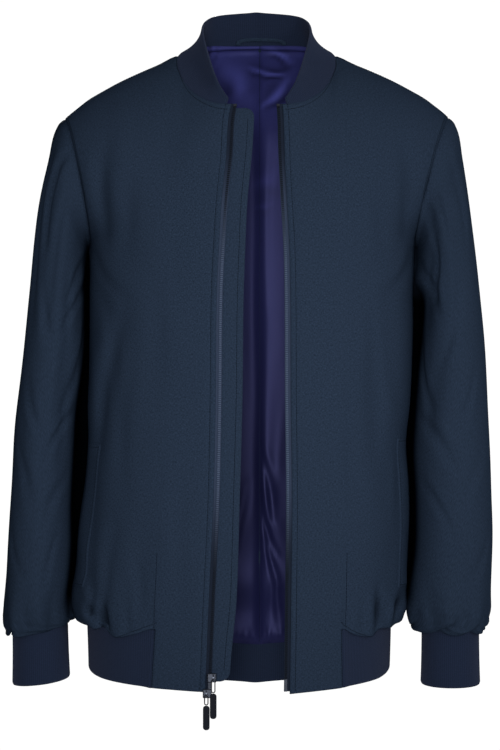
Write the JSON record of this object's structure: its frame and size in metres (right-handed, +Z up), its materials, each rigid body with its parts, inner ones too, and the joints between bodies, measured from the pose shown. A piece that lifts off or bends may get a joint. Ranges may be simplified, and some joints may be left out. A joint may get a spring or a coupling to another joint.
{
  "type": "bomber jacket",
  "caption": "Open bomber jacket filled out as if worn: cloth walls, knit rib collar, hem and cuffs, two-way open-end zip with guard, satin back lining.",
  "frame": {"origin": "middle of the neck opening, between the two neck points, at the height of the seam at the back of the neck", "axes": "+Z up, -Y out of the front, +X towards the wearer's left"},
  "size_m": [0.5636, 0.2523, 0.8201],
  "materials": {
    "wool": "dark navy wool suiting, finely heathered",
    "rib": "doubled rib knit, darker navy",
    "satin": "violet navy satin, soft sheen",
    "tape": "woven zip tape",
    "coil": "moulded coil chain",
    "metal": "dark plated metal",
    "tab": "dark enamelled pull tab"
  },
  "bodies": {
    "garment": {"front_right": "wool", "front_left": "wool", "back": "wool", "sleeve_right": "wool", "sleeve_left": "wool", "welt_right": "wool", "welt_left": "wool", "zip_guard": "wool", "hanger_loop": "wool", "collar": "rib", "hem_rib": "rib", "cuff_right": "rib", "cuff_left": "rib", "lining_right": "satin", "lining_left": "satin", "zip_tape_right": "tape", "zip_tape_left": "tape", "zip_chain_right": "coil", "zip_chain_left": "coil", "zip_top_stop_right": "metal", "zip_top_stop_left": "metal", "zip_box": "metal", "zip_pin": "metal", "slider_upper": "metal", "slider_lower": "metal"},
    "pull_upper": {"pull_upper_link": "metal", "pull_upper_tab": "tab"},
    "pull_lower": {"pull_lower_link": "metal", "pull_lower_tab": "tab"}
  },
  "joints": [
    {"name": "pull_upper_swing", "type": "hinge", "parent": "garment", "child": "pull_upper", "pos_m": [-0.0482, -0.12596, -0.7247], "axis": [-1, 0, 0], "range_deg": [0, 150]},
    {"name": "pull_lower_swing", "type": "hinge", "parent": "garment", "child": "pull_lower", "pos_m": [-0.0559, -0.12543, -0.7422], "axis": [-1, 0, 0], "range_deg": [0, 150]}
  ]
}
